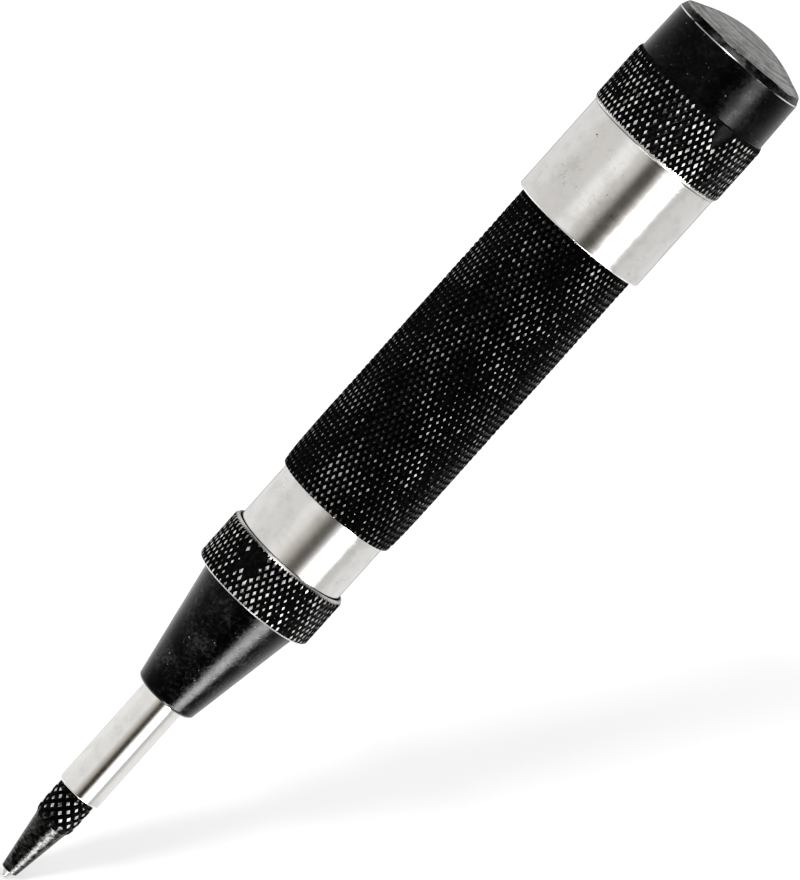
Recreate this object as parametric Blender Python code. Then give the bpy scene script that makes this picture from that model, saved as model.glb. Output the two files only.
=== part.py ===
"""Automatic centre punch, 130 mm long. Pressed on the work, it lifts a hammer against a spring and lets it go.

Lengths are in millimetres in the constants and outlines, and in metres in Blender.
The tip is the origin, and +Z runs up the tool's axis to the crown of the adjusting cap.
Outlines are half sections, (radius, height) pairs that run down the outer side.
"""

import math

import bmesh
import bpy
from mathutils import Matrix, Vector

MM = 0.001

# Driving dimensions, mm. Heights are above the tip.
LENGTH = 130.0
STROKE = 10.0             # how far the plunger goes into the nose
CAP_TRAVEL = 3.0          # how far the cap screws each way, three turns of 1 mm
LATCH_SHIFT = 1.0         # how far the taper pushes the latch over the whole stroke
GAP = 0.3                 # between faces that rest on each other
RUN = 0.1                 # radial clearance of what slides or screws
CHAMFER = 0.3
EDGE = 0.15               # a broken edge, smaller than a chamfer
DRILL_POINT = 0.6         # height of the cone a drill leaves, for each mm of its radius
CUT_PAST = 1.0            # how far a cutter runs past what it cuts

TIP_LAND_R = 0.15
TIP_EDGE_R = 0.25         # the land's edge, worn round
TIP_EDGE_TOP = 0.06
TIP_CONE_TOP = 1.05  # where the ground 90 degree tip meets the taper
POINT_TOP_R = 2.15        # the taper's upper end
POINT_BAND_BOTTOM = 8.4
POINT_BAND_TOP = 13.1
POINT_BAND_R = 2.5
POINT_SHANK_R = 1.45
POINT_SHANK_TOP = 20.0

ROD_R = 2.775
FLANGE_R = 4.2
FLANGE_HEIGHT = 2.2
ANVIL_R = 2.5
ANVIL_TOP = 49.0
TRIP_PIN_R = 1.3
TRIP_PIN_DEPTH = 5.0      # how far it sits in the plunger

NOSE_BOTTOM = 28.35
NOSE_BOTTOM_R = 3.9
NOSE_CONE_TOP_R = 6.6
NOSE_CORNER = 0.35        # rounds the nose's lower edge
NOSE_SHOULDER = 38.0      # the plunger's flange rests on it
COLLAR_BOTTOM = 43.65
COLLAR_TOP = 50.35
COLLAR_R = 8.0
COLLAR_TOP_CHAMFER = 0.5  # its width across the top face
NOSE_THREAD_BOTTOM = 44.3
NOSE_RECESS_BOTTOM = 49.3
NOSE_RECESS_R = 7.45

BARREL_R = 7.3
SPIGOT_R = 6.2            # the thread that takes the nose
RETURN_BORE_R = 4.6
LEDGE_BOTTOM = 55.5
LEDGE_TOP = 57.0
BARREL_BORE_R = 5.8
CAP_THREAD_BOTTOM = 103.2
CAP_THREAD_R = 7.0
BARREL_TOP = 114.5

GRIP_BOTTOM = 58.15
GRIP_TOP = 103.0
GRIP_R = 8.05

BUSH_MOUTH_R = 5.1
BUSH_TOP = 73.2
LATCH_BOTTOM = 60.3
LATCH_HEIGHT = 3.0
LATCH_HALF_WIDTH = 2.1
LATCH_END_R = 3.2         # its front is rounded to suit the round bore
LATCH_WALL = 0.6          # behind its hole
POCKET_WALL = 0.5         # what the latch spring's pocket leaves of the hammer's side

HAMMER_BOTTOM = 57.4
HAMMER_STEM_R = 3.7
HAMMER_HEAD_R = 5.65
HAMMER_TOP = 83.0
HAMMER_PIN_BORE_TOP = 72.0
SPRING_PILOT_R = 3.5      # spigots that centre the main spring
SPRING_PILOT_HEIGHT = 2.7

SEAT_BOTTOM = 115.7
SEAT_TOP = 118.0
SEAT_R = 5.5

CAP_BOTTOM = 106.5        # the lower end of the threaded neck
CAP_NECK_R = 8.1
CAP_KNURL_BOTTOM = 112.7
CAP_KNURL_TOP = 120.85
CAP_KNURL_R = 9.1
CAP_HEAD_R = 8.9
CAP_HEAD_TOP = 127.1
CAP_HEAD_TOP_R = 8.78
CROWN_EDGE = 127.9
CROWN_R = 8.45
SKIRT_BOTTOM = 99.8
SKIRT_R = 8.8
SKIRT_BORE_R = 8.2

MAIN_WIRE = 1.6
MAIN_MEAN_R = 4.7
MAIN_TURNS = 8.5
RETURN_WIRE = 0.7
RETURN_MEAN_R = 3.3
RETURN_TURNS = 5.5
LATCH_WIRE = 0.25
LATCH_MEAN_R = 0.8
LATCH_TURNS = 3.0

ROUND = 40                # sides of a turned piece
HOLE_SIDES = 24           # sides of a cross hole
COIL_STEPS = 14           # points on each turn of a spring
CLOSED_PITCH = 1.12       # rise of a closed-up end turn, in wire diameters

# Worked out from the driving dimensions
BUSH_SLOPE = LATCH_SHIFT / STROKE
BUSH_THROAT_R = BUSH_MOUTH_R - BUSH_SLOPE * (BUSH_TOP - LATCH_BOTTOM)
BUSH_BOTTOM = LEDGE_TOP + GAP
LATCH_MIDDLE = LATCH_BOTTOM + LATCH_HEIGHT / 2
LATCH_BORE_R = TRIP_PIN_R + RUN
HEAD_BOTTOM = BUSH_TOP + GAP
FLANGE_BOTTOM = NOSE_SHOULDER + GAP
FLANGE_TOP = FLANGE_BOTTOM + FLANGE_HEIGHT

NICKEL = ((0.62, 0.60, 0.57), 0.32, 1.0)
POLISHED = ((0.72, 0.70, 0.68), 0.15, 1.0)
BLACK_OXIDE = ((0.018, 0.018, 0.019), 0.42, 0.6)
DARK_STEEL = ((0.075, 0.068, 0.06), 0.38, 1.0)
TOOL_STEEL = ((0.30, 0.29, 0.28), 0.35, 1.0)
BRONZE = ((0.45, 0.29, 0.13), 0.4, 1.0)
SPRING_STEEL = ((0.22, 0.22, 0.23), 0.3, 1.0)


def clear_scene():
    for obj in list(bpy.data.objects):
        bpy.data.objects.remove(obj)


def finish(name, look):
    colour, roughness, metallic = look
    material = bpy.data.materials.new(name)
    material.use_nodes = True
    shader = material.node_tree.nodes["Principled BSDF"]
    shader.inputs["Base Color"].default_value = (*colour, 1.0)
    shader.inputs["Roughness"].default_value = roughness
    shader.inputs["Metallic"].default_value = metallic
    return material


def carriage(name, height, parent=None):
    """An empty on the axis at that height, which a moving group of pieces hangs on."""
    empty = bpy.data.objects.new(name, None)
    empty.location = (0, 0, height * MM)
    empty.empty_display_size = 3 * MM
    bpy.context.scene.collection.objects.link(empty)
    if parent:
        hang(empty, parent)
    return empty


def hang(obj, parent):
    bpy.context.view_layer.update()
    obj.parent = parent
    obj.matrix_parent_inverse = parent.matrix_world.inverted()


def add_object(name, data, look, place, parent):
    obj = bpy.data.objects.new(name, data)
    obj.location = Vector(place) * MM
    bpy.context.scene.collection.objects.link(obj)
    if look:
        data.materials.append(finish(name, look))
    if parent:
        hang(obj, parent)
    return obj


def mesh_from(bm, name):
    mesh = bpy.data.meshes.new(name)
    bmesh.ops.recalc_face_normals(bm, faces=bm.faces)
    bm.to_mesh(mesh)
    bm.free()
    mesh.shade_smooth()
    mesh.set_sharp_from_angle(angle=math.radians(25))
    return mesh


def turned_mesh(name, outline, base):
    """The outline spun round the axis. It closes on itself, or on the axis if both its ends are there."""
    bm = bmesh.new()
    points = [bm.verts.new(Vector((r, 0, z - base)) * MM) for r, z in outline]
    solid = outline[0][0] == 0 and outline[-1][0] == 0
    pairs = list(zip(points, points[1:])) + ([] if solid else [(points[-1], points[0])])
    edges = [bm.edges.new(pair) for pair in pairs]
    bmesh.ops.spin(
        bm, geom=points + edges, cent=(0, 0, 0), axis=(0, 0, 1), angle=math.tau, steps=ROUND
    )
    bmesh.ops.remove_doubles(bm, verts=bm.verts, dist=1e-7)
    return mesh_from(bm, name)


def turned(name, outline, look, parent=None):
    """A turned piece, with its origin on the axis at its lower end."""
    base = min(z for _, z in outline)
    return add_object(name, turned_mesh(name, outline, base), look, (0, 0, base), parent)


def cutter(name, mesh, place=(0, 0, 0)):
    obj = add_object(name, mesh, None, place, None)
    obj.hide_render = True
    obj.display_type = "WIRE"
    return obj


def cut(obj, tool):
    modifier = obj.modifiers.new(tool.name, "BOOLEAN")
    modifier.object = tool
    modifier.solver = "EXACT"


def block_mesh(name, sides):
    """A box of full side lengths (x, y, z), centred on its origin."""
    bm = bmesh.new()
    bmesh.ops.create_cube(bm, size=1.0, matrix=Matrix.Diagonal((*(Vector(sides) * MM), 1)))
    return mesh_from(bm, name)


def drill_mesh(name, radius, length):
    """A cylinder along Z, centred on its origin."""
    bm = bmesh.new()
    bmesh.ops.create_cone(
        bm,
        cap_ends=True,
        segments=HOLE_SIDES,
        radius1=radius * MM,
        radius2=radius * MM,
        depth=length * MM,
    )
    return mesh_from(bm, name)


def coil(name, look, place, length, mean_r, wire, turns, parent=None, lay_along_x=False):
    """A compression spring of round wire. Its end turns are closed up, and it starts at its origin."""
    rise_per_turn = (length - wire) / turns
    closed_rise = CLOSED_PITCH * wire
    steps = round(turns * COIL_STEPS)
    # The end turns rise by closed_rise, and the turns between them share the rest.
    open_rise = (length - wire - 2 * closed_rise) / (turns - 2) if turns > 4 else rise_per_turn
    heights = [wire / 2]
    for step in range(steps):
        turn = (step + 0.5) / COIL_STEPS
        at_end = turns > 4 and (turn < 1 or turn > turns - 1)
        heights.append(heights[-1] + (closed_rise if at_end else open_rise) / COIL_STEPS)
    curve = bpy.data.curves.new(name, "CURVE")
    curve.dimensions = "3D"
    curve.bevel_depth = wire / 2 * MM
    curve.bevel_resolution = 1
    curve.use_fill_caps = True
    spline = curve.splines.new("POLY")
    spline.points.add(steps)
    for step, height in enumerate(heights):
        angle = math.tau * step / COIL_STEPS
        point = Vector((mean_r * math.cos(angle), mean_r * math.sin(angle), height)) * MM
        spline.points[step].co = (*point, 1)
    obj = add_object(name, curve, look, place, parent)
    if lay_along_x:
        obj.rotation_euler = (0, math.radians(90), 0)
    return obj


def arc(centre, radius, start, end, steps):
    """Points on a circle from one angle to another, in degrees, both ends included."""
    angles = [math.radians(start + (end - start) * i / steps) for i in range(steps + 1)]
    return [(centre[0] + radius * math.cos(a), centre[1] + radius * math.sin(a)) for a in angles]


def crown(edge_r, edge_z, apex_z, steps):
    """A shallow dome from the axis out to its edge."""
    sag = apex_z - edge_z
    radius = (edge_r**2 + sag**2) / (2 * sag)
    half_angle = math.degrees(math.asin(edge_r / radius))
    points = arc((0, apex_z - radius), radius, 90, 90 - half_angle, steps)
    return [(0, apex_z)] + points[1:]


def punch_point(parent):
    taper_bottom_r = TIP_CONE_TOP
    outline = [
        (0, POINT_SHANK_TOP),
        (POINT_SHANK_R - CHAMFER, POINT_SHANK_TOP),
        (POINT_SHANK_R, POINT_SHANK_TOP - CHAMFER),
        (POINT_SHANK_R, POINT_BAND_TOP),
        (POINT_BAND_R - CHAMFER, POINT_BAND_TOP),
        (POINT_BAND_R, POINT_BAND_TOP - CHAMFER),
        (POINT_BAND_R, POINT_BAND_BOTTOM + CHAMFER),
        (POINT_TOP_R, POINT_BAND_BOTTOM),
        (taper_bottom_r, TIP_CONE_TOP),
        (TIP_EDGE_R, TIP_EDGE_TOP),
        (TIP_LAND_R, 0),
        (0, 0),
    ]
    return turned("punch_point", outline, DARK_STEEL, parent)


def plunger(parent):
    rod_bottom = POINT_BAND_TOP + GAP / 2
    hole_r = POINT_SHANK_R + RUN / 2
    pin_hole_r = TRIP_PIN_R + RUN / 2
    outline = [
        (pin_hole_r, ANVIL_TOP),
        (ANVIL_R - CHAMFER, ANVIL_TOP),
        (ANVIL_R, ANVIL_TOP - CHAMFER),
        (ANVIL_R, FLANGE_TOP),
        (FLANGE_R - CHAMFER, FLANGE_TOP),
        (FLANGE_R, FLANGE_TOP - CHAMFER),
        (FLANGE_R, FLANGE_BOTTOM),
        (ROD_R, FLANGE_BOTTOM),
        (ROD_R, rod_bottom + CHAMFER),
        (ROD_R - CHAMFER, rod_bottom),
        (hole_r, rod_bottom),
        (hole_r, POINT_SHANK_TOP + GAP),
        (0, POINT_SHANK_TOP + GAP + DRILL_POINT * hole_r),
        (0, ANVIL_TOP - TRIP_PIN_DEPTH - GAP),
        (pin_hole_r, ANVIL_TOP - TRIP_PIN_DEPTH - GAP),
    ]
    return turned("plunger", on_axis_split(outline), POLISHED, parent)


def on_axis_split(outline):
    """The same closed outline, started at its upper point on the axis, so that it runs from axis to axis."""
    on_axis = [i for i, (r, _) in enumerate(outline) if r == 0]
    start = on_axis[1]
    return outline[start:] + outline[:start]


def trip_pin(parent):
    top = LATCH_BOTTOM - GAP
    bottom = ANVIL_TOP - TRIP_PIN_DEPTH
    outline = [
        (0, top),
        (TRIP_PIN_R - CHAMFER / 2, top),
        (TRIP_PIN_R, top - CHAMFER / 2),
        (TRIP_PIN_R, bottom),
        (0, bottom),
    ]
    return turned("trip_pin", outline, TOOL_STEEL, parent)


def nose_piece():
    guide_r = ROD_R + RUN
    cone_lean = math.degrees(
        math.atan2(NOSE_CONE_TOP_R - NOSE_BOTTOM_R, COLLAR_BOTTOM - NOSE_BOTTOM)
    )
    corner_centre = (NOSE_BOTTOM_R - NOSE_CORNER, NOSE_BOTTOM + NOSE_CORNER)
    outline = [
        (NOSE_RECESS_R, COLLAR_TOP),
        (COLLAR_R - COLLAR_TOP_CHAMFER, COLLAR_TOP),
        (COLLAR_R, COLLAR_TOP - CHAMFER),
        (COLLAR_R, COLLAR_BOTTOM + CHAMFER),
        (COLLAR_R - CHAMFER, COLLAR_BOTTOM),
        (NOSE_CONE_TOP_R, COLLAR_BOTTOM),
        *arc(corner_centre, NOSE_CORNER, -cone_lean, -90, 3),
        (guide_r + CHAMFER, NOSE_BOTTOM),
        (guide_r, NOSE_BOTTOM + CHAMFER),
        (guide_r, NOSE_SHOULDER),
        (FLANGE_R + GAP, NOSE_SHOULDER),
        (FLANGE_R + GAP, NOSE_THREAD_BOTTOM),
        (SPIGOT_R + RUN, NOSE_THREAD_BOTTOM),
        (SPIGOT_R + RUN, NOSE_RECESS_BOTTOM),
        (NOSE_RECESS_R, NOSE_RECESS_BOTTOM),
    ]
    return turned("nose_piece", outline, BLACK_OXIDE)


def barrel():
    ledge_hole_r = ANVIL_R + GAP
    outline = [
        (BARREL_BORE_R, BARREL_TOP),
        (CAP_THREAD_R - CHAMFER, BARREL_TOP),
        (CAP_THREAD_R, BARREL_TOP - CHAMFER),
        (CAP_THREAD_R, CAP_THREAD_BOTTOM),
        (BARREL_R, CAP_THREAD_BOTTOM),
        (BARREL_R, NOSE_RECESS_BOTTOM + GAP),
        (SPIGOT_R, NOSE_RECESS_BOTTOM + GAP),
        (SPIGOT_R, NOSE_THREAD_BOTTOM + GAP + CHAMFER),
        (SPIGOT_R - CHAMFER, NOSE_THREAD_BOTTOM + GAP),
        (RETURN_BORE_R, NOSE_THREAD_BOTTOM + GAP),
        (RETURN_BORE_R, LEDGE_BOTTOM),
        (ledge_hole_r, LEDGE_BOTTOM),
        (ledge_hole_r, LEDGE_TOP),
        (BARREL_BORE_R, LEDGE_TOP),
    ]
    return turned("barrel", outline, NICKEL)


def grip_sleeve():
    bore_r = BARREL_R + RUN
    outline = [
        (bore_r, GRIP_TOP),
        (GRIP_R - CHAMFER, GRIP_TOP),
        (GRIP_R, GRIP_TOP - CHAMFER),
        (GRIP_R, GRIP_BOTTOM + CHAMFER),
        (GRIP_R - CHAMFER, GRIP_BOTTOM),
        (bore_r, GRIP_BOTTOM),
    ]
    return turned("grip_sleeve", outline, BLACK_OXIDE)


def release_bush():
    outline = [
        (BUSH_THROAT_R, BUSH_TOP),
        (BARREL_BORE_R - RUN - CHAMFER, BUSH_TOP),
        (BARREL_BORE_R - RUN, BUSH_TOP - CHAMFER),
        (BARREL_BORE_R - RUN, BUSH_BOTTOM),
        (BUSH_MOUTH_R, BUSH_BOTTOM),
        (BUSH_MOUTH_R, LATCH_BOTTOM),
    ]
    return turned("release_bush", outline, BRONZE)


def hammer(parent):
    pilot_top = HAMMER_TOP + SPRING_PILOT_HEIGHT
    outline = [
        (0, pilot_top),
        (SPRING_PILOT_R - CHAMFER, pilot_top),
        (SPRING_PILOT_R, pilot_top - CHAMFER),
        (SPRING_PILOT_R, HAMMER_TOP),
        (HAMMER_HEAD_R - CHAMFER, HAMMER_TOP),
        (HAMMER_HEAD_R, HAMMER_TOP - CHAMFER),
        (HAMMER_HEAD_R, HEAD_BOTTOM + CHAMFER),
        (HAMMER_HEAD_R - CHAMFER, HEAD_BOTTOM),
        (HAMMER_STEM_R, HEAD_BOTTOM),
        (HAMMER_STEM_R, HAMMER_BOTTOM + CHAMFER),
        (HAMMER_STEM_R - CHAMFER, HAMMER_BOTTOM),
        (LATCH_BORE_R, HAMMER_BOTTOM),
        (LATCH_BORE_R, HAMMER_PIN_BORE_TOP),
        (0, HAMMER_PIN_BORE_TOP + DRILL_POINT * LATCH_BORE_R),
    ]
    obj = turned("hammer", outline, TOOL_STEEL, parent)
    slot_back = latch_back() - LATCH_SHIFT - RUN
    slot_front = HAMMER_STEM_R + CUT_PAST
    slot_sides = (
        slot_front - slot_back,
        2 * (LATCH_HALF_WIDTH + RUN),
        LATCH_HEIGHT + 2 * RUN,
    )
    slot = block_mesh("latch_slot", slot_sides)
    cut(obj, cutter("latch_slot", slot, ((slot_front + slot_back) / 2, 0, LATCH_MIDDLE)))
    pocket_r = LATCH_MEAN_R + LATCH_WIRE / 2 + RUN
    pocket_length = slot_back - latch_pocket_end() + CUT_PAST
    pocket = drill_mesh("spring_pocket", pocket_r, pocket_length)
    middle = latch_pocket_end() + pocket_length / 2
    pocket_cutter = cutter("spring_pocket", pocket, (middle, 0, LATCH_MIDDLE))
    pocket_cutter.rotation_euler = (0, math.radians(90), 0)
    cut(obj, pocket_cutter)
    return obj


def latch_back():
    """The latch's flat back at rest: a wall behind its hole, which stands off centre by the shift."""
    return LATCH_SHIFT - LATCH_BORE_R - LATCH_WALL


def latch_pocket_end():
    """The bottom of the drilled pocket in the hammer that holds the latch spring."""
    return POCKET_WALL - HAMMER_STEM_R


def latch_outline(front, back):
    """The latch seen from above: a flat back and a rounded front."""
    reach = math.sqrt(LATCH_END_R**2 - LATCH_HALF_WIDTH**2)
    half_angle = math.degrees(math.atan2(LATCH_HALF_WIDTH, reach))
    nose = arc((front - LATCH_END_R, 0), LATCH_END_R, -half_angle, half_angle, 8)
    return [(back, -LATCH_HALF_WIDTH), *nose, (back, LATCH_HALF_WIDTH)]


def latch_block(parent):
    front = BUSH_MOUTH_R - RUN
    lower = latch_outline(front, latch_back())
    upper = latch_outline(front - BUSH_SLOPE * LATCH_HEIGHT, latch_back())
    bm = bmesh.new()
    rings = []
    for outline, height in ((lower, -LATCH_HEIGHT / 2), (upper, LATCH_HEIGHT / 2)):
        rings.append([bm.verts.new(Vector((x, y, height)) * MM) for x, y in outline])
        bm.faces.new(rings[-1])
    for i in range(len(lower)):
        after = (i + 1) % len(lower)
        bm.faces.new((rings[0][i], rings[0][after], rings[1][after], rings[1][i]))
    obj = add_object(
        "latch_block", mesh_from(bm, "latch_block"), TOOL_STEEL, (0, 0, LATCH_MIDDLE), parent
    )
    hole = drill_mesh("latch_hole", LATCH_BORE_R, LATCH_HEIGHT + 2 * CUT_PAST)
    cut(obj, cutter("latch_hole", hole, (LATCH_SHIFT, 0, LATCH_MIDDLE)))
    return obj


def spring_seat(parent):
    pilot_bottom = SEAT_BOTTOM - SPRING_PILOT_HEIGHT
    outline = [
        (0, SEAT_TOP),
        (SEAT_R - CHAMFER, SEAT_TOP),
        (SEAT_R, SEAT_TOP - CHAMFER),
        (SEAT_R, SEAT_BOTTOM),
        (SPRING_PILOT_R, SEAT_BOTTOM),
        (SPRING_PILOT_R, pilot_bottom + CHAMFER),
        (SPRING_PILOT_R - CHAMFER, pilot_bottom),
        (0, pilot_bottom),
    ]
    return turned("spring_seat", outline, TOOL_STEEL, parent)


def adjusting_cap(parent):
    bore_r = CAP_THREAD_R + RUN
    outline = [
        *crown(CROWN_R, CROWN_EDGE, LENGTH, 5),
        (CAP_HEAD_TOP_R, CAP_HEAD_TOP),
        (CAP_HEAD_R, CAP_KNURL_TOP),
        (CAP_KNURL_R, CAP_KNURL_TOP - CHAMFER),
        (CAP_KNURL_R, CAP_KNURL_BOTTOM + CHAMFER),
        (CAP_KNURL_R - CHAMFER, CAP_KNURL_BOTTOM),
        (CAP_NECK_R, CAP_KNURL_BOTTOM),
        (CAP_NECK_R, CAP_BOTTOM + CHAMFER),
        (CAP_NECK_R - CHAMFER, CAP_BOTTOM),
        (bore_r, CAP_BOTTOM),
        (bore_r, SEAT_TOP + GAP),
        (0, SEAT_TOP + GAP),
    ]
    return turned("adjusting_cap", outline, BLACK_OXIDE, parent)


def cap_skirt(parent):
    top = CAP_KNURL_BOTTOM - GAP / 2
    outline = [
        (SKIRT_BORE_R, top),
        (SKIRT_R - EDGE, top),
        (SKIRT_R, top - EDGE),
        (SKIRT_R, SKIRT_BOTTOM + EDGE),
        (SKIRT_R - EDGE, SKIRT_BOTTOM),
        (SKIRT_BORE_R, SKIRT_BOTTOM),
    ]
    return turned("cap_skirt", outline, NICKEL, parent)


def springs(hammer_carriage):
    main_bottom = HAMMER_TOP + GAP
    coil(
        "main_spring",
        SPRING_STEEL,
        (0, 0, main_bottom),
        SEAT_BOTTOM - GAP - main_bottom,
        MAIN_MEAN_R,
        MAIN_WIRE,
        MAIN_TURNS,
    )
    return_bottom = FLANGE_TOP + GAP
    coil(
        "return_spring",
        SPRING_STEEL,
        (0, 0, return_bottom),
        LEDGE_BOTTOM - GAP - return_bottom,
        RETURN_MEAN_R,
        RETURN_WIRE,
        RETURN_TURNS,
    )
    latch_start = latch_pocket_end() + RUN
    coil(
        "latch_spring",
        SPRING_STEEL,
        (latch_start, 0, LATCH_MIDDLE),
        latch_back() - RUN - latch_start,
        LATCH_MEAN_R,
        LATCH_WIRE,
        LATCH_TURNS,
        parent=hammer_carriage,
        lay_along_x=True,
    )


def main():
    clear_scene()
    plunger_carriage = carriage("plunger_carriage", POINT_BAND_TOP)
    hammer_carriage = carriage("hammer_carriage", HAMMER_BOTTOM)
    latch_carriage = carriage("latch_carriage", LATCH_MIDDLE, hammer_carriage)
    seat_carriage = carriage("seat_carriage", SEAT_BOTTOM)
    cap_carriage = carriage("cap_carriage", SEAT_TOP, seat_carriage)

    punch_point(plunger_carriage)
    plunger(plunger_carriage)
    trip_pin(plunger_carriage)
    nose_piece()
    barrel()
    grip_sleeve()
    release_bush()
    hammer(hammer_carriage)
    latch_block(latch_carriage)
    spring_seat(seat_carriage)
    adjusting_cap(cap_carriage)
    cap_skirt(cap_carriage)
    springs(hammer_carriage)


main()
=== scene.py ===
"""Automatic centre punch, for rendering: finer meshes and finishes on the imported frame.

Outlines are half sections in millimetres, (radius, height) or (radius, height, finish) points.
A finish holds from the point that names it up to the next point that names one.
"""
import math
import random

import bmesh
import bpy
from mathutils import Matrix, Vector

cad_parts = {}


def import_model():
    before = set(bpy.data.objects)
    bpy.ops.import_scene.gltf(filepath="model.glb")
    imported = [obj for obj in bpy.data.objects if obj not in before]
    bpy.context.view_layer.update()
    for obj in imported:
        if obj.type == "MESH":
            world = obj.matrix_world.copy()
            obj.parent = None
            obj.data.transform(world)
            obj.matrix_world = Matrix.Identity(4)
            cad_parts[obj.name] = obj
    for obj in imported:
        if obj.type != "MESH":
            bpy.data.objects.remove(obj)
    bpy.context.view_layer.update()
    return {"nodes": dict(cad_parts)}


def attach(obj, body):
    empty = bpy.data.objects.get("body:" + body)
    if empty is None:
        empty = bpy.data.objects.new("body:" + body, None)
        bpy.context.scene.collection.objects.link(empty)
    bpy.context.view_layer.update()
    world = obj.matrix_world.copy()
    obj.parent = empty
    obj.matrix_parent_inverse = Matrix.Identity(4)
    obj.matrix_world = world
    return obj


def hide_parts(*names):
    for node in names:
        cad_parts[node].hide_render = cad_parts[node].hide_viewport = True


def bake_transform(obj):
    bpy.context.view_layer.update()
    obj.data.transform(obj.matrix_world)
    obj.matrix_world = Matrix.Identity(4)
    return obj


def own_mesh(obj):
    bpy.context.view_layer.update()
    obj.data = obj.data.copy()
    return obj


MM = 0.001
HOLD = 0.03                       # mm beyond a rounded corner to the point that keeps its flat flat

# Knurls: teeth round the piece, and half a diamond's height in mm
CAP_TEETH = 70
COLLAR_TEETH = 61
GRIP_TEETH = 64
HALF_DIAMOND = 0.78
POINT_TEETH = 12
POINT_HALF_DIAMOND = 0.70

# Radii of the pieces that show, in mm
POINT_R = 2.5
ROD_R = 2.775
COLLAR_R = 8.0
BARREL_R = 7.3
GRIP_R = 8.05
SKIRT_R = 8.8
CAP_R = 9.1

# Heights above the tip where pieces end or meet, in mm
ROD_BOTTOM = 13.25
NOSE_BOTTOM = 28.35
COLLAR_BOTTOM = 43.65
COLLAR_TOP = 50.3
GRIP_BOTTOM = 58.15
GRIP_TOP = 103.0
SKIRT_BOTTOM = 99.8
CAP_BOTTOM = 112.7
CAP_KNURL_TOP = 120.85
CROWN_TOP = 130.0

# Camera, aimed from the tool's middle
TILT = math.radians(41.855)       # how far the tool leans in the picture
ELEVATION = math.radians(8.6)     # how far the camera looks down
DISTANCE = 775.0                  # mm to the tool's middle
AIM_RIGHT = 2.7996                # mm from the tool's middle to the picture's, across the picture
AIM_UP = 2.3728                   # and up it
LENS = 278.591                    # mm, on a sensor 36 mm high
SENSOR = 36.0


# ---------------------------------------------------------------- node helpers

class Tree:
    """A node tree with short calls that make a node, set it up and return its output."""

    def __init__(self, tree):
        self.nodes = tree.nodes
        self.links = tree.links

    def put(self, socket, value):
        if isinstance(value, bpy.types.NodeSocket):
            self.links.new(value, socket)
        else:
            socket.default_value = value

    def new(self, kind, inputs=(), **settings):
        node = self.nodes.new(kind)
        for key, value in settings.items():
            setattr(node, key, value)
        for key, value in dict(inputs).items():
            self.put(node.inputs[key], value)
        return node

    def math(self, operation, a, b=0.0):
        return self.new("ShaderNodeMath", {0: a, 1: b}, operation=operation).outputs[0]

    def scaled(self, vector, factors):
        node = self.new("ShaderNodeVectorMath", {0: vector, 1: factors}, operation="MULTIPLY")
        return node.outputs[0]

    def noise(self, vector, scale, detail=3.0, rough=0.55, distortion=0.0):
        """Noise with about as many bumps to the metre as scale says."""
        node = self.new(
            "ShaderNodeTexNoise",
            {
                "Vector": vector,
                "Scale": scale,
                "Detail": detail,
                "Roughness": rough,
                "Distortion": distortion,
            },
        )
        return node.outputs["Fac"]

    def range(self, value, low, high, to_low=0.0, to_high=1.0, smooth=True):
        """0 to 1, or to_low to to_high, as the value goes from low to high, and level beyond them."""
        node = self.new(
            "ShaderNodeMapRange",
            {"Value": value, "From Min": low, "From Max": high, "To Min": to_low, "To Max": to_high},
            interpolation_type="SMOOTHSTEP" if smooth else "LINEAR",
        )
        return node.outputs[0]

    def mix(self, fac, a, b):
        node = self.nodes.new("ShaderNodeMix")
        node.data_type = "RGBA"
        self.put(node.inputs["Factor"], fac)
        for name, value in (("A", a), ("B", b)):
            socket = [s for s in node.inputs if s.name == name and s.type == "RGBA"][0]
            self.put(socket, value if isinstance(value, bpy.types.NodeSocket) else (*value, 1.0))
        return [s for s in node.outputs if s.type == "RGBA"][0]

    def bump(self, height, distance, normal=None):
        """A bump whose distance is in metres."""
        node = self.new("ShaderNodeBump", {"Height": height, "Distance": distance, "Strength": 1.0})
        if normal:
            self.put(node.inputs["Normal"], normal)
        return node.outputs[0]


def material(name, **constants):
    """A material with its shader's constants set, and its tree, shader and object coordinates."""
    made = bpy.data.materials.new(name)
    made.use_nodes = True
    tree = Tree(made.node_tree)
    shader = made.node_tree.nodes["Principled BSDF"]
    for key, value in constants.items():
        shader.inputs[key.replace("_", " ")].default_value = value
    place = tree.new("ShaderNodeTexCoord").outputs["Object"]
    return made, tree, shader, place


# ------------------------------------------------------------------- materials

ROUND_MARKS = (250.0, 250.0, 9000.0)     # stretches noise round a piece, as turning does
BLACK = (0.0012, 0.0012, 0.0013)
HEAD_RADIUS = 0.0088                     # m, round the top of the cap


def scuffs(tree, place, scale, width):
    """Thin wandering scratches, in a few patches."""
    path = tree.noise(place, scale, 2.0, 0.5, 1.2)
    line = tree.range(tree.math("ABSOLUTE", tree.math("SUBTRACT", path, 0.5)), 0.0, width, 1.0, 0.0)
    patch = tree.range(tree.noise(place, scale * 0.4, 1.0, 0.5), 0.56, 0.64)
    return tree.math("MULTIPLY", line, patch)


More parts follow.
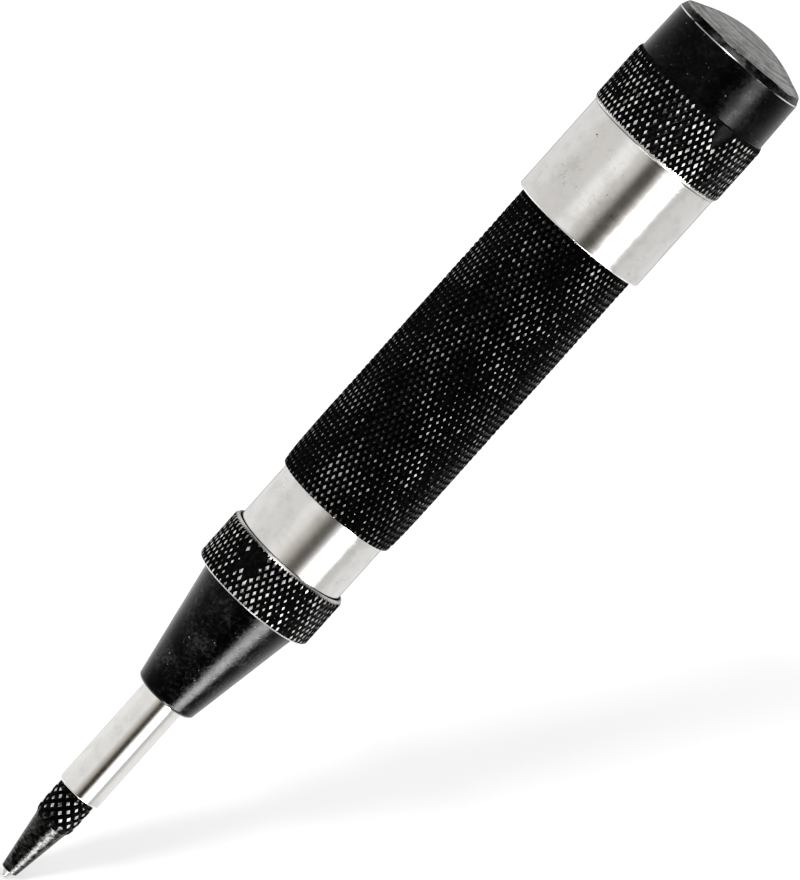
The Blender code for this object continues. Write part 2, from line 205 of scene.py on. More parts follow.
def plated(name, colour, tarnish, rough, spread, specks, scuffed=0.35):
    """Nickel plate or polished steel: turning marks, faint blotches, scuffs and a few dark pits.

    The higher specks is, the fewer the pits.
    """
    made, tree, shader, place = material(name, Metallic=1.0)
    turned = tree.noise(tree.scaled(place, ROUND_MARKS), 1.0, 4.0, 0.6)
    blotch = tree.noise(place, 420.0, 5.0, 0.65)
    fine = tree.noise(place, 1300.0, 3.0, 0.6)
    toned = tree.mix(tree.range(blotch, 0.42, 0.75), colour, tarnish)
    pits = tree.range(tree.noise(place, 1100.0, 2.0, 0.5), specks, specks + 0.03)
    scratched = tree.math("MULTIPLY", scuffs(tree, place, 520.0, 0.012), scuffed)
    marked = tree.math("MAXIMUM", pits, scratched)
    base = tree.mix(marked, toned, tuple(c * 0.25 for c in tarnish))
    tree.put(shader.inputs["Base Color"], base)
    uneven = tree.math("ADD", tree.math("MULTIPLY", turned, 0.5), tree.math("MULTIPLY", blotch, 0.5))
    roughness = tree.range(uneven, 0.3, 0.7, rough - spread, rough + spread)
    tree.put(shader.inputs["Roughness"], roughness)
    marks = tree.bump(turned, 0.0000015)
    tree.put(shader.inputs["Normal"], tree.bump(fine, 0.000004, normal=marks))
    return made


def oxide(name, rough, marks, ripples=0.0, gloss=1.3, wear=0.024):
    """Black oxide over turned steel, oiled, with small pale specks and rubbed places.

    marks and ripples are the depths of the turning marks and of slow waves under them, in metres.
    """
    made, tree, shader, place = material(name, IOR=gloss, Sheen_Weight=0.12, Sheen_Roughness=0.35)
    turned = tree.noise(tree.scaled(place, ROUND_MARKS), 1.0, 4.0, 0.7)
    cloud = tree.noise(place, 420.0, 5.0, 0.65)
    grain = tree.noise(place, 2200.0, 4.0, 0.65)
    speck = tree.range(tree.noise(place, 2600.0, 1.0, 0.4), 0.74, 0.82)
    rubbed = tree.range(tree.math("MULTIPLY", cloud, grain), 0.18, 0.50)
    black = tree.mix(rubbed, BLACK, (wear, wear, wear * 1.04))
    tree.put(shader.inputs["Base Color"], tree.mix(speck, black, (0.13, 0.13, 0.13)))
    uneven = tree.math("ADD", tree.math("MULTIPLY", grain, 0.4), tree.math("MULTIPLY", cloud, 0.6))
    tree.put(shader.inputs["Roughness"], tree.range(uneven, 0.35, 0.65, rough - 0.1, rough + 0.12))
    lathe = tree.bump(turned, marks)
    if ripples:
        flat = tree.noise(tree.scaled(place, (60.0, 60.0, 2000.0)), 1.0, 1.0, 0.4)
        lathe = tree.bump(flat, ripples, normal=lathe)
    tree.put(shader.inputs["Normal"], tree.bump(grain, 0.000012, normal=lathe))
    return made


def knurl_flank(name):
    """The blackened sides of a knurl's diamonds."""
    made, tree, shader, place = material(name, IOR=1.22)
    grain = tree.noise(place, 2500.0, 4.0, 0.65)
    shade = tree.mix(tree.range(grain, 0.4, 0.7), (0.0015, 0.0015, 0.0015), (0.008, 0.008, 0.008))
    tree.put(shader.inputs["Base Color"], shade)
    tree.put(shader.inputs["Roughness"], tree.range(grain, 0.3, 0.7, 0.4, 0.6))
    tree.put(shader.inputs["Normal"], tree.bump(grain, 0.00002))
    return made


def knurl_crest(name, bright, dull, low, high, rough):
    """Worn tops of a knurl: bright steel in places, still dark in others.

    They aren't fully metallic, because fine scuffs scatter part of the light.
    """
    made, tree, shader, place = material(name, Metallic=0.6)
    patch = tree.noise(place, 170.0, 3.0, 0.6)
    each = tree.noise(place, 1400.0, 2.0, 0.6)
    worn = tree.math("ADD", tree.math("MULTIPLY", patch, 0.45), tree.math("MULTIPLY", each, 0.55))
    tree.put(shader.inputs["Base Color"], tree.mix(tree.range(worn, low, high), dull, bright))
    tree.put(shader.inputs["Roughness"], tree.range(each, 0.3, 0.7, rough, rough + 0.15))
    tree.put(shader.inputs["Normal"], tree.bump(tree.noise(place, 3500.0), 0.00002))
    return made


def worn_edge(name, bright, low, high, shaded_bearing=None):
    """An edge of the cap's head, rubbed through to bright steel.

    Round a given bearing, in degrees from +X, the edge is painted dark: painted shade, not wear.
    """
    made, tree, shader, place = material(name, Metallic=1.0, Roughness=0.3)
    along = tree.noise(place, 380.0, 4.0, 0.65)
    worn = tree.range(along, low, high)
    if shaded_bearing is not None:
        bearing = math.radians(shaded_bearing)
        way = (math.cos(bearing) / HEAD_RADIUS, math.sin(bearing) / HEAD_RADIUS, 0.0)
        near = tree.new("ShaderNodeVectorMath", {0: place, 1: way}, operation="DOT_PRODUCT")
        # painted shade: darkens the bright edge round the given bearing
        worn = tree.math("MULTIPLY", worn, tree.range(near.outputs["Value"], 0.86, 0.95, 1.0, 0.08))
    tree.put(shader.inputs["Base Color"], tree.mix(worn, (0.02, 0.02, 0.02), bright))
    tree.put(shader.inputs["Normal"], tree.bump(tree.noise(place, 3000.0), 0.00001))
    return made


def dark_point(name):
    """Hardened steel with a dark skin and coarse grinding marks."""
    made, tree, shader, place = material(name, Metallic=1.0)
    ground = tree.noise(tree.scaled(place, (1500.0, 1500.0, 4200.0)), 1.0, 5.0, 0.72)
    cloud = tree.noise(place, 1100.0, 4.0, 0.7)
    mixed = tree.math("ADD", tree.math("MULTIPLY", ground, 0.5), tree.math("MULTIPLY", cloud, 0.5))
    skin = tree.mix(tree.range(mixed, 0.40, 0.64), (0.008, 0.008, 0.008), (0.13, 0.128, 0.124))
    tree.put(shader.inputs["Base Color"], skin)
    tree.put(shader.inputs["Roughness"], tree.range(cloud, 0.3, 0.7, 0.2, 0.36))
    tree.put(shader.inputs["Normal"], tree.bump(ground, 0.00005))
    return made


def crown_face(name, dark, light, streaks):
    """Turned bare and darkened: blotches, with faint rings left by the tool."""
    made, tree, shader, place = material(name, Metallic=1.0)
    flat = tree.scaled(place, (1.0, 1.0, 0.0))
    radius = tree.new("ShaderNodeVectorMath", {0: flat}, operation="LENGTH").outputs["Value"]
    out = tree.math("MULTIPLY", radius, 2600.0)
    ring_place = tree.new("ShaderNodeCombineXYZ", {"X": out}).outputs[0]
    drift = tree.scaled(place, (160.0, 160.0, 0.0))
    along = tree.new("ShaderNodeVectorMath", {0: ring_place, 1: drift}, operation="ADD").outputs[0]
    rings = tree.noise(along, 1.0, 3.0, 0.6)
    cloud = tree.noise(place, 700.0, 5.0, 0.7)
    clouded = tree.math("MULTIPLY", cloud, 1.0 - streaks)
    mixed = tree.math("ADD", tree.math("MULTIPLY", rings, streaks), clouded)
    tree.put(shader.inputs["Base Color"], tree.mix(tree.range(mixed, 0.38, 0.64), dark, light))
    tree.put(shader.inputs["Roughness"], tree.range(cloud, 0.3, 0.7, 0.32, 0.5))
    tree.put(shader.inputs["Normal"], tree.bump(rings, 0.000015))
    return made


def ground_steel(name, dark, light, rough):
    """Plain machined steel or bronze for what is hidden inside."""
    made, tree, shader, place = material(name, Metallic=1.0)
    turned = tree.noise(tree.scaled(place, ROUND_MARKS), 1.0, 4.0, 0.6)
    cloud = tree.noise(place, 300.0, 4.0, 0.6)
    tree.put(shader.inputs["Base Color"], tree.mix(tree.range(cloud, 0.35, 0.65), dark, light))
    tree.put(shader.inputs["Roughness"], tree.range(cloud, 0.3, 0.7, rough - 0.07, rough + 0.07))
    tree.put(shader.inputs["Normal"], tree.bump(turned, 0.000008))
    return made


NICKEL = plated(
    "satin_nickel", (0.82, 0.805, 0.785), (0.71, 0.695, 0.67), rough=0.19, spread=0.05, specks=0.757
)
POLISHED = plated(
    "polished_steel", (0.86, 0.845, 0.82), (0.76, 0.74, 0.71), rough=0.13, spread=0.04, specks=0.78,
    scuffed=0.1,
)
BARE = plated(
    "bare_chamfer", (0.66, 0.65, 0.63), (0.46, 0.45, 0.43), rough=0.30, spread=0.06, specks=0.74
)
TIP = plated(
    "ground_tip", (0.62, 0.61, 0.60), (0.34, 0.33, 0.32), rough=0.22, spread=0.06, specks=0.70,
    scuffed=0.0,
)
CONE_OXIDE = oxide("cone_oxide", rough=0.17, marks=0.00002)
HEAD_OXIDE = oxide("head_oxide", rough=0.30, marks=0.00001, ripples=0.00004, gloss=1.25, wear=0.012)
FLANK = knurl_flank("knurl_flank")
CREST = knurl_crest("knurl_crest", (0.66, 0.65, 0.635), (0.04, 0.04, 0.04), 0.38, 0.62, rough=0.45)
GRIP_CREST = knurl_crest("grip_crest", (0.34, 0.335, 0.33), (0.02, 0.02, 0.02), 0.42, 0.62, rough=0.46)
# -68 degrees faces the camera a little to its right; the edge is painted dark there as painted shade
HEAD_EDGE = worn_edge("head_edge", (0.86, 0.84, 0.82), 0.34, 0.44, shaded_bearing=-68)
CROWN_RIM = worn_edge("crown_rim", (0.40, 0.39, 0.38), 0.42, 0.60)
RING = crown_face("chamfer_ring", (0.02, 0.02, 0.02), (0.12, 0.12, 0.12), streaks=0.2)
CROWN = crown_face("crown_face", (0.13, 0.128, 0.125), (0.44, 0.435, 0.43), streaks=0.55)
POINT = dark_point("point_steel")
TOOL_STEEL = ground_steel("tool_steel", (0.24, 0.235, 0.23), (0.36, 0.35, 0.34), rough=0.32)
BRONZE = ground_steel("bronze", (0.38, 0.23, 0.10), (0.50, 0.32, 0.15), rough=0.34)
SPRING = ground_steel("spring_steel", (0.15, 0.15, 0.155), (0.27, 0.27, 0.28), rough=0.28)


# ------------------------------------------------------------------------ mesh

def eased(outline, size, steps=3, closed=True):
    """The outline with its corners rounded, each by no more than 0.4 of the edges beside it.

    A point close on each side of the rounding keeps the flats beside it shaded flat.
    """
    count = len(outline)
    out = []
    for i, point in enumerate(outline):
        finish = point[2] if len(point) > 2 else None
        here = Vector(point[:2])
        at_end = not closed and i in (0, count - 1)
        before = Vector(outline[i - 1][:2]) - here
        after = Vector(outline[(i + 1) % count][:2]) - here
        straight = before.length < 1e-6 or after.length < 1e-6
        if at_end or straight or before.angle(-after) < math.radians(12):
            out.append((*here, finish))
            continue
        start = here + before.normalized() * min(size, 0.4 * before.length)
        end = here + after.normalized() * min(size, 0.4 * after.length)
        hold_before = here + before.normalized() * min(size + HOLD, 0.45 * before.length)
        hold_after = here + after.normalized() * min(size + HOLD, 0.45 * after.length)
        out.append((*hold_before, None))
        for step in range(steps + 1):
            t = step / steps
            p = (1 - t) ** 2 * start + 2 * t * (1 - t) * here + t**2 * end
            out.append((*p, finish if step == steps else None))
        out.append((*hold_after, None))
    return out


def lathe(bm, outline, steps, closed):
    """Turns the outline into a mesh: a ring of points for each of its points, or one on the axis."""
    made = []
    for r, z, _ in outline:
        if r < 1e-7:
            made.append([bm.verts.new((0, 0, z * MM))])
            continue
        turn = math.tau / steps
        angles = [i * turn for i in range(steps)]
        points = [(r * math.cos(a) * MM, r * math.sin(a) * MM, z * MM) for a in angles]
        made.append([bm.verts.new(point) for point in points])
    finish = next((f for _, _, f in reversed(outline) if f is not None), 0) if closed else 0
    last = len(outline) if closed else len(outline) - 1
    for k in range(last):
        if outline[k][2] is not None:
            finish = outline[k][2]
        a, b = made[k], made[(k + 1) % len(made)]
        if len(a) == 1 and len(b) == 1:
            continue
        for i in range(steps):
            j = (i + 1) % steps
            corners = [a[i % len(a)], a[j % len(a)], b[j % len(b)], b[i % len(b)]]
            face = bm.faces.new(list(dict.fromkeys(corners)))
            face.material_index = finish


def object_from(bm, name, materials, angle=30):
    """An object made of the mesh, shaded smooth but for edges sharper than the angle in degrees."""
    bmesh.ops.recalc_face_normals(bm, faces=bm.faces)
    mesh = bpy.data.meshes.new(name)
    bm.to_mesh(mesh)
    bm.free()
    mesh.shade_smooth()
    mesh.set_sharp_from_angle(angle=math.radians(angle))
    for finish in materials:
        mesh.materials.append(finish)
    obj = bpy.data.objects.new(name, mesh)
    bpy.context.scene.collection.objects.link(obj)
    return obj


def turned(name, outline, materials, steps=128, ease=0.12):
    """A turned piece.

    An outline that starts and ends on the axis is solid, and any other closes on itself.
    """
    solid = outline[0][0] == 0 and outline[-1][0] == 0
    bm = bmesh.new()
    lathe(bm, eased(outline, ease, closed=not solid), steps, not solid)
    return object_from(bm, name, materials)


def knurled_blank(
    name, valley, crest, low, high, teeth, half, seed,
    below=(), above=(), flats=(), spread=0.04, tracks=0.0, droop=None,
):
    """A solid bar whose side is a lattice of pyramids from low to high.

    below and above carry it on, smooth, as (radius, height) points. spread is how uneven the pyramids are,
    and tracks varies them along each helix, as a knurling wheel's uneven teeth do. Each of flats is
    (from angle, to angle, low, high, radius, taper), a patch that the wheel didn't form. droop gives how
    much smaller the bar is at a height.
    """
    pick = random.Random(seed)
    rows = round((high - low) / half)
    step = (high - low) / rows
    turn = math.tau / teeth
    bm = bmesh.new()

    def radius(r, angle, z):
        bearing = math.degrees(angle) % 360
        for start, end, bottom, top, level, taper in flats:
            closing = taper * (top - z) / (top - bottom) * (end - start) / 2
            if start + closing < bearing < end - closing and bottom < z < top:
                return level
        return r - (droop(z) if droop else 0)

    def ring(r, z, offset=0.0):
        angles = [(i + offset) * turn for i in range(teeth)]
        points = [(radius(r, a, z), a) for a in angles]
        return [bm.verts.new((q * math.cos(a) * MM, q * math.sin(a) * MM, z * MM)) for q, a in points]

    def wall(a, b):
        for i in range(teeth):
            j = (i + 1) % teeth
            bm.faces.new((a[i], a[j], b[j], b[i]))

    net = [ring(valley, low + j * step, 0.5 * (j % 2)) for j in range(rows + 1)]
    for j in range(1, rows):
        odd = j % 2
        for i in range(teeth):
            left, right = net[j][i], net[j][(i + 1) % teeth]
            k = (i + odd) % teeth
            angle = (i + 0.5 + 0.5 * odd) * turn
            z = low + j * step + pick.gauss(0, spread)
            one_way = math.sin(math.tau * (i + 0.5 * j) / 11)
            other_way = math.sin(math.tau * (i - 0.5 * j) / 13)
            uneven = one_way + other_way
            r = radius(crest + tracks * uneven + pick.gauss(0, spread), angle, z)
            apex = bm.verts.new((r * math.cos(angle) * MM, r * math.sin(angle) * MM, z * MM))
            under, over = net[j - 1][k], net[j + 1][k]
            for p, q in ((left, under), (under, right), (right, over), (over, left)):
                bm.faces.new((p, q, apex))
    for j, other in ((0, 1), (rows, rows - 1)):
        for i in range(teeth):
            k = i if not (j % 2) else (i + 1) % teeth
            bm.faces.new((net[j][i], net[j][(i + 1) % teeth], net[other][k]))
    bottom, top = net[0], net[rows]
    for r, z in below:
        after = ring(r, z)
        wall(bottom, after)
        bottom = after
    for r, z in above:
        after = ring(r, z, 0.5 * (rows % 2))
        wall(top, after)
        top = after
    bm.faces.new(bottom)
    bm.faces.new(top)
    return object_from(bm, name, [FLANK])


def knurled(name, outline, materials, blank, steps, ease=0.1):
    """The turned envelope, with the blank's lattice cut into it. The blank's finish comes last."""
    obj = turned(name, outline, materials, steps, ease)
    modifier = obj.modifiers.new("knurl", "BOOLEAN")
    modifier.object = blank
    modifier.operation = "INTERSECT"
    modifier.solver = "MANIFOLD"
    modifier.material_mode = "TRANSFER"
    graph = bpy.context.evaluated_depsgraph_get()
    mesh = bpy.data.meshes.new_from_object(obj.evaluated_get(graph))
    obj.modifiers.clear()
    obj.data = mesh
    mesh.shade_smooth()
    mesh.set_sharp_from_angle(angle=math.radians(22))
    bpy.data.objects.remove(blank)
    return obj


def coil(name, low, high, mean_r, wire, turns, first, last, steps_per_turn=48, sides=12):
    """Part of a compression spring of round wire round Z, from turn first to turn last, as a mesh."""
    closed = 1.0
    span = high - low - wire
    closed_rise = 1.1 * wire
    open_rise = (span - 2 * closed * closed_rise) / (turns - 2 * closed)

    def height(turn):
        z = low + wire / 2
        z += closed_rise * min(turn, closed)
        z += open_rise * max(0.0, min(turn, turns - closed) - closed)
        return z + closed_rise * max(0.0, turn - (turns - closed))

    bm = bmesh.new()
    loops = []
    count = round((last - first) * steps_per_turn)
    for s in range(count + 1):
        turn = first + (last - first) * s / count
        angle = math.tau * turn
        out = Vector((math.cos(angle), math.sin(angle), 0))
        centre = out * mean_r + Vector((0, 0, height(turn)))
        loop = []
        for k in range(sides):
            a = math.tau * k / sides
            across = out * math.cos(a) + Vector((0, 0, 1)) * math.sin(a)
            loop.append(bm.verts.new((centre + across * wire / 2) * MM))
        loops.append(loop)
    for a, b in zip(loops, loops[1:]):
        for k in range(sides):
            bm.faces.new((a[k], a[(k + 1) % sides], b[(k + 1) % sides], b[k]))
    bm.faces.new(loops[0])
    bm.faces.new(loops[-1])
    return object_from(bm, name, [SPRING], 40)


def dome(edge_r, edge_z, apex_z, steps):
    """Points of a shallow dome from the axis out to its edge."""
    sag = apex_z - edge_z
    radius = (edge_r**2 + sag**2) / (2 * sag)
    half = math.asin(edge_r / radius)
    points = []
    for i in range(steps + 1):
        a = half * i / steps
        points.append((radius * math.sin(a), apex_z - radius + radius * math.cos(a)))
    return points


# ---------------------------------------------------------------------- pieces

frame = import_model()


def place(obj, body, node, slot_name):
    """Puts the object on its body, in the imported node's stead."""
    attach(obj, body)
    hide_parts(node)
    return obj


def punch_point():
    outline = [
        (0, 20.0, 0),
        (1.15, 20.0),
        (1.45, 19.7),
        (1.45, 13.1),
        (2.3, 13.1),
        (POINT_R, 12.85),
        (POINT_R, 12.6, 2),
        (2.52, 9.5, 0),
        (2.40, 8.85),
        (2.15, 8.4, 0),
        (1.05, 1.05, 1),
        (0.25, 0.06),
        (0.15, 0),
        (0, 0),
    ]
    blank = knurled_blank(
        "point_blank", 2.22, 2.75, 8.45, 14.05, POINT_TEETH, POINT_HALF_DIAMOND, 5,
        below=[(3.0, 7.9), (3.0, -1.0)], above=[(2.20, 21.0)], spread=0.03,
    )
    obj = knurled("punch_point_fine", outline, [POINT, TIP, CREST], blank, 96, ease=0.06)
    return place(obj, "plunger", "punch_point", "point_steel")


def plunger():
    outline = [
        (0, 43.7, 0),
        (1.35, 43.7),
        (1.35, 49.0),
        (2.2, 49.0),
        (2.5, 48.7),
        (2.5, 40.5),
        (3.9, 40.5),
        (4.2, 40.2),
        (4.2, 38.3),
        (ROD_R, 38.3),
        (ROD_R, ROD_BOTTOM + 0.15),
        (2.6, ROD_BOTTOM),
        (1.5, ROD_BOTTOM),
        (1.5, 20.3),
        (0, 21.2),
    ]
    obj = turned("plunger_fine", outline, [POLISHED], 128, ease=0.08)
    return place(obj, "plunger", "plunger", "polished_steel")


def nose_piece():
    outline = [
        (7.5, COLLAR_TOP, 1),
        (7.72, COLLAR_TOP),
        (COLLAR_R, COLLAR_TOP - 0.45, 2),
        (COLLAR_R, COLLAR_BOTTOM + 0.32, 1),
        (7.68, COLLAR_BOTTOM),
        (6.9, COLLAR_BOTTOM, 0),
        (6.62, 43.5),
        (3.96, NOSE_BOTTOM + 0.31),
        (3.65, NOSE_BOTTOM),
        (3.175, NOSE_BOTTOM),
        (2.875, NOSE_BOTTOM + 0.3),
        (2.875, 38.0),
        (4.5, 38.0),
        (4.5, 44.3),
        (6.3, 44.3),
        (6.3, 49.3),
        (7.5, 49.3),
    ]
    blank = knurled_blank(
        "collar_blank", 7.82, 8.11, 42.62, 51.98, COLLAR_TEETH, HALF_DIAMOND, 11,
        below=[(7.84, 27.0)], flats=[(240.5, 258.5, 46.5, 50.0, 7.93, 0.0)], tracks=0.02,
    )
    obj = knurled("nose_piece_fine", outline, [CONE_OXIDE, BARE, CREST], blank, 2 * COLLAR_TEETH)
    return place(obj, "barrel", "nose_piece", "black_oxide")


def barrel():
    outline = [
        (5.8, 114.5, 0),
        (6.7, 114.5),
        (7.0, 114.2),
        (7.0, 103.2),
        (BARREL_R, 103.2),
        (BARREL_R, 49.6),
        (6.2, 49.6),
        (6.2, 44.9),
        (5.9, 44.6),
        (4.6, 44.6),
        (4.6, 55.5),
        (2.8, 55.5),
        (2.8, 57.0),
        (5.8, 57.0),
    ]
    obj = turned("barrel_fine", outline, [NICKEL], 160)
    return place(obj, "barrel", "barrel", "satin_nickel")


def grip_sleeve():
    outline = [
        (7.4, GRIP_TOP, 0),
        (7.75, GRIP_TOP),
        (GRIP_R, GRIP_TOP - 0.3),
        (GRIP_R, 65.0),
        (8.0, 60.8),
        (7.9, 59.1),
        (7.8, GRIP_BOTTOM + 0.1, 1),
        (7.72, GRIP_BOTTOM),
        (7.4, GRIP_BOTTOM),
    ]
    blank = knurled_blank(
        "grip_blank", 7.76, 8.16, 57.7, 103.72, GRIP_TEETH, HALF_DIAMOND, 23, tracks=0.03,
        droop=lambda z: 0.21 * max(0.0, (61.5 - z) / 3.2) ** 1.3,
    )
    obj = knurled("grip_sleeve_fine", outline, [GRIP_CREST, BARE], blank, 2 * GRIP_TEETH)
    return place(obj, "barrel", "grip_sleeve", "black_knurl")


def adjusting_cap():
    outline = [
        *[(r, z, 1) for r, z in dome(6.8, 128.5, CROWN_TOP, 12)],
        (7.35, 128.3, 1),
        (7.75, 128.13, 1),
        (8.08, 127.98, 1),
        (8.25, 127.88, 3),
        (8.34, 127.75, 4),
        (8.66, 127.05, 5),
        (8.70, 126.95, 0),
        (8.82, CAP_KNURL_TOP),
        (CAP_R, CAP_KNURL_TOP - 0.2, 2),
        (CAP_R, CAP_BOTTOM + 0.55, 6),
        (8.84, CAP_BOTTOM, 6),
        (8.1, CAP_BOTTOM, 0),
        (8.1, 106.8),
        (7.8, 106.5),
        (7.1, 106.5),
        (7.1, 118.3),
        (0, 118.3),
    ]
    blank = knurled_blank(
        "cap_blank", 8.92, 9.20, 111.9, 120.83, CAP_TEETH, HALF_DIAMOND, 31,
        below=[(8.92, 105.0)], above=[(9.8, 121.75), (9.8, 131.5)],
        flats=[(293.0, 308.5, 117.2, 120.95, 9.03, 1.0)], tracks=0.02,
    )
    finishes = [HEAD_OXIDE, CROWN, CREST, CROWN_RIM, RING, HEAD_EDGE, BARE]
    obj = knurled("adjusting_cap_fine", outline, finishes, blank, 2 * CAP_TEETH, 0.04)
    return place(obj, "cap", "adjusting_cap", "black_oxide")


def cap_skirt():
    top = CAP_BOTTOM - 0.04
    outline = [
        (8.2, top, 0),
        (8.74, top),
        (SKIRT_R, top - 0.06),
        (SKIRT_R, SKIRT_BOTTOM + 0.15),
        (8.65, SKIRT_BOTTOM),
        (8.2, SKIRT_BOTTOM),
    ]
    obj = turned("cap_skirt_fine", outline, [NICKEL], 160, 0.08)
    return place(obj, "cap", "cap_skirt", "satin_nickel")


def springs():
    """The main spring is in two parts: the lower goes on the barrel in the imported spring's stead, and
    the upper stays where it is made.
    """
    turns, split_turn = 8.5, 5.5
    main = (83.3, 115.4, 4.7, 1.6, turns)
    low = coil("main_spring_lower", *main, 0.0, split_turn)
    place(low, "barrel", "main_spring", "spring_steel")
    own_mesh(low)
    high = coil("main_spring_upper", *main, split_turn, turns)
    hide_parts("main_spring")
    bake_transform(high)
    back = coil("return_spring_fine", 40.8, 55.2, 3.3, 0.7, 5.5, 0.0, 5.5)
    place(back, "barrel", "return_spring", "spring_steel")
    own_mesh(back)
    small = coil("latch_spring_fine", 0.0, 2.0, 0.8, 0.25, 3.0, 0.0, 3.0)
    lay_along_x = Matrix.Rotation(math.radians(90), 4, "Y")
    small.data.transform(Matrix.Translation((-3.1 * MM, 0, 61.8 * MM)) @ lay_along_x)
    place(small, "hammer", "latch_spring", "spring_steel")
    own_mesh(small)


def kept_nodes():
    """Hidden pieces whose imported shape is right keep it, and take a better finish."""
    finishes = {
        "trip_pin": TOOL_STEEL,
        "hammer": TOOL_STEEL,
        "latch_block": TOOL_STEEL,
        "spring_seat": TOOL_STEEL,
        "release_bush": BRONZE,
    }
    for node, finish in finishes.items():
        obj = frame["nodes"][node]
        for slot in obj.material_slots:
            slot.material = finish


punch_point()
plunger()
nose_piece()
barrel()
grip_sleeve()
adjusting_cap()
cap_skirt()
springs()
kept_nodes()


# ----------------------------------------------------------------------- stage

def floor():
    """A matt white floor. The metal mirrors the tent and not this."""
    made, tree, shader, where = material("floor", Roughness=1.0)
    shader.inputs["Specular IOR Level"].default_value = 0.0
    soft = tree.noise(where, 3.0, 2.0, 0.5)
    tone = tree.mix(soft, (0.85, 0.85, 0.85), (0.857, 0.857, 0.857))
    tree.put(shader.inputs["Base Color"], tone)
    bm = bmesh.new()
    bmesh.ops.create_grid(bm, x_segments=8, y_segments=8, size=6.0)
    obj = object_from(bm, "floor", [made])
    obj.location.z = -0.02 * MM
    obj.visible_glossy = False


# Brightness round the tool by angle from the camera towards the right, in degrees. The third number is
# how brown it is. CABINET shows above level and just below, TABLE_EDGE lower, and TABLE lower still.
CABINET = [
    (-180, 0.22, 0.5), (-169, 0.26, 0.5), (-160, 0.82, 0), (-100, 0.82, 0), (-95, 0.74, 0.2),
    (-88, 0.76, 0.3), (-84, 0.70, 0.3), (-43, 0.72, 0.3), (-33, 1.02, 0), (-16, 1.02, 0),
    (-10, 0.76, 0.3), (0, 0.66, 0.5), (7, 0.30, 1), (12, 0.06, 1), (26, 0.04, 1), (32, 0.36, 1),
    (37, 0.66, 0.5), (44, 1.2, 0), (62, 1.2, 0), (67, 0.56, 0.3), (78, 0.56, 0.3), (86, 0.72, 0),
    (160, 0.82, 0), (169, 0.26, 0.5), (180, 0.22, 0.5),
]
TABLE_EDGE = [
    (-180, 0.18, 1), (-168, 0.22, 1), (-160, 0.92, 0), (-97, 0.92, 0), (-88, 0.86, 0), (-26, 0.84, 0),
    (-14, 0.64, 1), (-4, 0.44, 1.4), (4, 0.24, 2), (9, 0.05, 1), (23, 0.04, 1), (30, 0.6, 0),
    (33, 1.3, 0), (73, 1.3, 0), (76, 0.50, 0), (84, 0.60, 0), (94, 0.68, 0), (98, 0.88, 0),
    (160, 0.92, 0), (168, 0.22, 1), (180, 0.18, 1),
]
TABLE = [
    (-180, 1.4, 0), (-105, 1.2, 0), (-80, 0.8, 0), (-50, 0.50, 0), (-15, 0.40, 0), (-2, 0.18, 0),
    (6, 0.06, 0), (34, 0.06, 0), (42, 0.5, 0), (80, 0.40, 0), (95, 0.6, 0), (115, 1.1, 0), (180, 1.4, 0),
]


def band(tree, value, low, high, soft):
    """1 between low and high and 0 elsewhere, with edges soft on both sides."""
    rise = tree.range(value, low - soft, low + soft)
    return tree.math("MULTIPLY", rise, tree.range(value, high - soft, high + soft, 1.0, 0.0))


def walls(tree, around, steps):
    """The colours of one of the lists above, by the place round the tool from 0 to 1."""
    node = tree.new("ShaderNodeValToRGB", {0: around})
    elements = node.color_ramp.elements
    while len(elements) < len(steps):
        elements.new(0.5)
    for element, (angle, value, brown) in zip(elements, steps):
        element.position = (angle + 180) / 360
        element.color = (value, value * (1 - 0.05 * brown), value * (1 - 0.11 * brown), 1.0)
    return node.outputs["Color"]


def tent_colour(tree, azimuth, height):
    """What stands round the tool, from under the table up to the ceiling."""
    around = tree.range(azimuth, -180, 180, smooth=False)
    edge, table = walls(tree, around, TABLE_EDGE), walls(tree, around, TABLE)
    lower = tree.mix(tree.range(height, -21, -16), table, edge)
    level = tree.mix(tree.range(height, -10.8, -7.6), lower, walls(tree, around, CABINET))
    gap = tree.math("MULTIPLY", band(tree, height, -10.4, -8.6, 0.4), band(tree, azimuth, 3, 34, 3.0))
    level = tree.mix(tree.math("MULTIPLY", gap, 0.8), level, (0.52, 0.50, 0.47))
    low = tree.mix(tree.range(height, -60, -42), (0.92, 0.92, 0.92), level)
    behind = tree.range(tree.math("ABSOLUTE", azimuth), 95, 125)
    shade = tree.mix(behind, (0.10, 0.10, 0.10), (0.85, 0.85, 0.85))
    upper = tree.mix(tree.range(height, 14, 24), low, shade)
    return tree.mix(tree.range(height, 52, 66), upper, (0.85, 0.85, 0.85))


def lamps(tree, azimuth, height):
    """How much brighter than white the window, the light under the table and the lamp overhead are."""
    window = tree.math("MULTIPLY", band(tree, height, -20, 12, 4.0), band(tree, azimuth, 45, 62, 4.0))
    below = tree.range(height, -22, -18, 1.0, 0.0)
    lower_window = tree.math("MULTIPLY", below, band(tree, azimuth, 50, 76, 1.5))
    lamp = tree.math("MULTIPLY", band(tree, azimuth, -26, 14, 5.0), band(tree, height, 33, 50, 3.0))
    total = tree.math("MULTIPLY", window, 16.0)
    total = tree.math("ADD", total, tree.math("MULTIPLY", lamp, 7.0))
    return tree.math("ADD", total, tree.math("MULTIPLY", lower_window, 24.0))


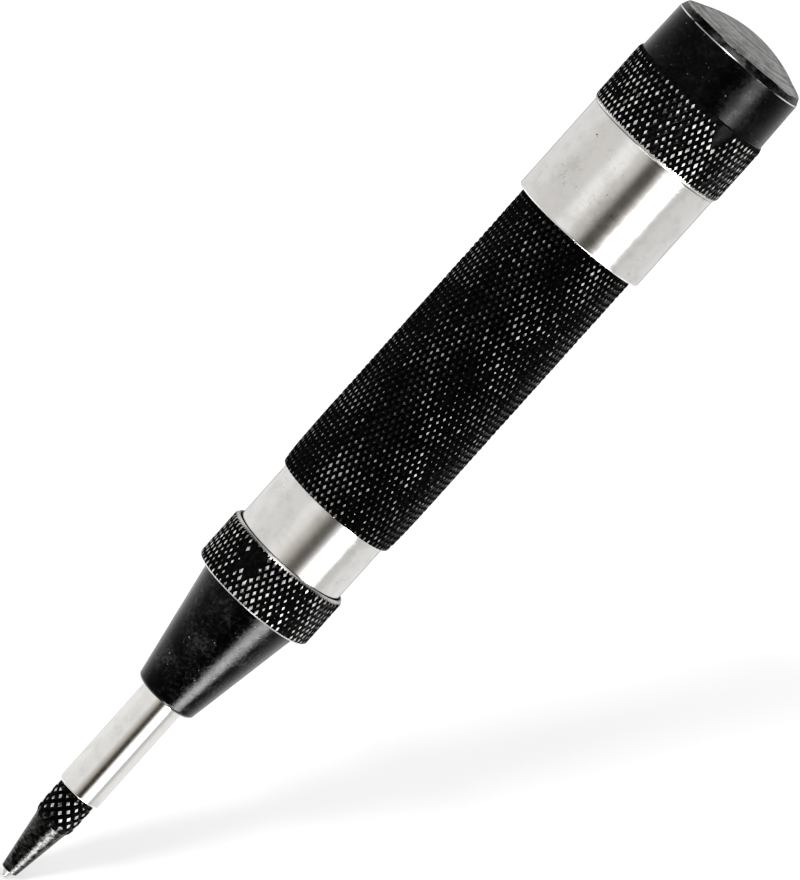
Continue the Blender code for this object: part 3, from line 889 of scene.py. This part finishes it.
def world():
    """A light tent for what the metal mirrors, and an even white one for the rest."""
    made = bpy.data.worlds.new("studio")
    bpy.context.scene.world = made
    made.use_nodes = True
    made.node_tree.nodes.clear()
    tree = Tree(made.node_tree)
    direction = tree.new("ShaderNodeTexCoord").outputs["Generated"]
    split = tree.new("ShaderNodeSeparateXYZ", {0: direction})
    back = tree.math("MULTIPLY", split.outputs["Y"], -1.0)
    azimuth = tree.math("MULTIPLY", tree.math("ARCTAN2", split.outputs["X"], back), 180 / math.pi)
    height = tree.math("MULTIPLY", tree.math("ARCSINE", split.outputs["Z"]), 180 / math.pi)

    def background(colour, strength):
        inputs = {"Color": colour, "Strength": strength}
        return tree.new("ShaderNodeBackground", inputs).outputs[0]

    white = (1, 1, 1, 1)
    tent_light = background(tent_colour(tree, azimuth, height), 1.0)
    lamp_light = background(white, lamps(tree, azimuth, height))
    mirrored = tree.new("ShaderNodeAddShader", {0: tent_light, 1: lamp_light}).outputs[0]
    even = background(white, 0.97)
    seen = background(white, 1.02)
    path = tree.new("ShaderNodeLightPath").outputs
    lit = tree.new("ShaderNodeMixShader", {0: path["Is Diffuse Ray"], 1: mirrored, 2: even}).outputs[0]
    surface = tree.new("ShaderNodeMixShader", {0: path["Is Camera Ray"], 1: lit, 2: seen}).outputs[0]
    tree.new("ShaderNodeOutputWorld", {"Surface": surface})


def key_light():
    """Low and from the front left: it casts the long faint shadow across the floor."""
    data = bpy.data.lights.new("key", "SUN")
    data.energy = 3.2
    data.angle = math.radians(2.6)
    obj = bpy.data.objects.new("key", data)
    bpy.context.scene.collection.objects.link(obj)
    azimuth, height = math.radians(9.1), math.radians(11.5)
    towards = Vector(
        (-math.sin(azimuth) * math.cos(height), -math.cos(azimuth) * math.cos(height), math.sin(height))
    )
    obj.rotation_euler = towards.to_track_quat("Z", "Y").to_euler()
    obj.visible_glossy = False


def deep_blacks():
    """A toe on the picture's tone curve, as a catalogue picture has."""
    settings = bpy.context.scene.view_settings
    settings.view_transform = "Standard"
    settings.use_curve_mapping = True
    mapping = settings.curve_mapping
    mapping.extend = "EXTRAPOLATED"
    curve = mapping.curves[3]
    for x, y in ((0.02, 0.006), (0.05, 0.028), (0.11, 0.09), (0.22, 0.21), (0.45, 0.45)):
        curve.points.new(x, y)
    mapping.update()


def camera():
    data = bpy.data.cameras.new("camera")
    data.sensor_width = SENSOR
    data.lens = LENS
    data.clip_start = 0.05
    data.clip_end = 50.0
    obj = bpy.data.objects.new("camera", data)
    bpy.context.scene.collection.objects.link(obj)
    forward = Vector((0, math.cos(ELEVATION), -math.sin(ELEVATION)))
    level = Vector((1, 0, 0))
    upright = Vector((0, math.sin(ELEVATION), math.cos(ELEVATION)))
    right = math.cos(TILT) * level + math.sin(TILT) * upright
    up = math.cos(TILT) * upright - math.sin(TILT) * level
    middle = Vector((0, 0, CROWN_TOP / 2))
    spot = (middle + right * AIM_RIGHT + up * AIM_UP - forward * DISTANCE) * MM
    turn = Matrix((right, up, -forward)).transposed().to_4x4()
    obj.matrix_world = Matrix.Translation(spot) @ turn
    bpy.context.scene.camera = obj


floor()
world()
key_light()
camera()
deep_blacks()
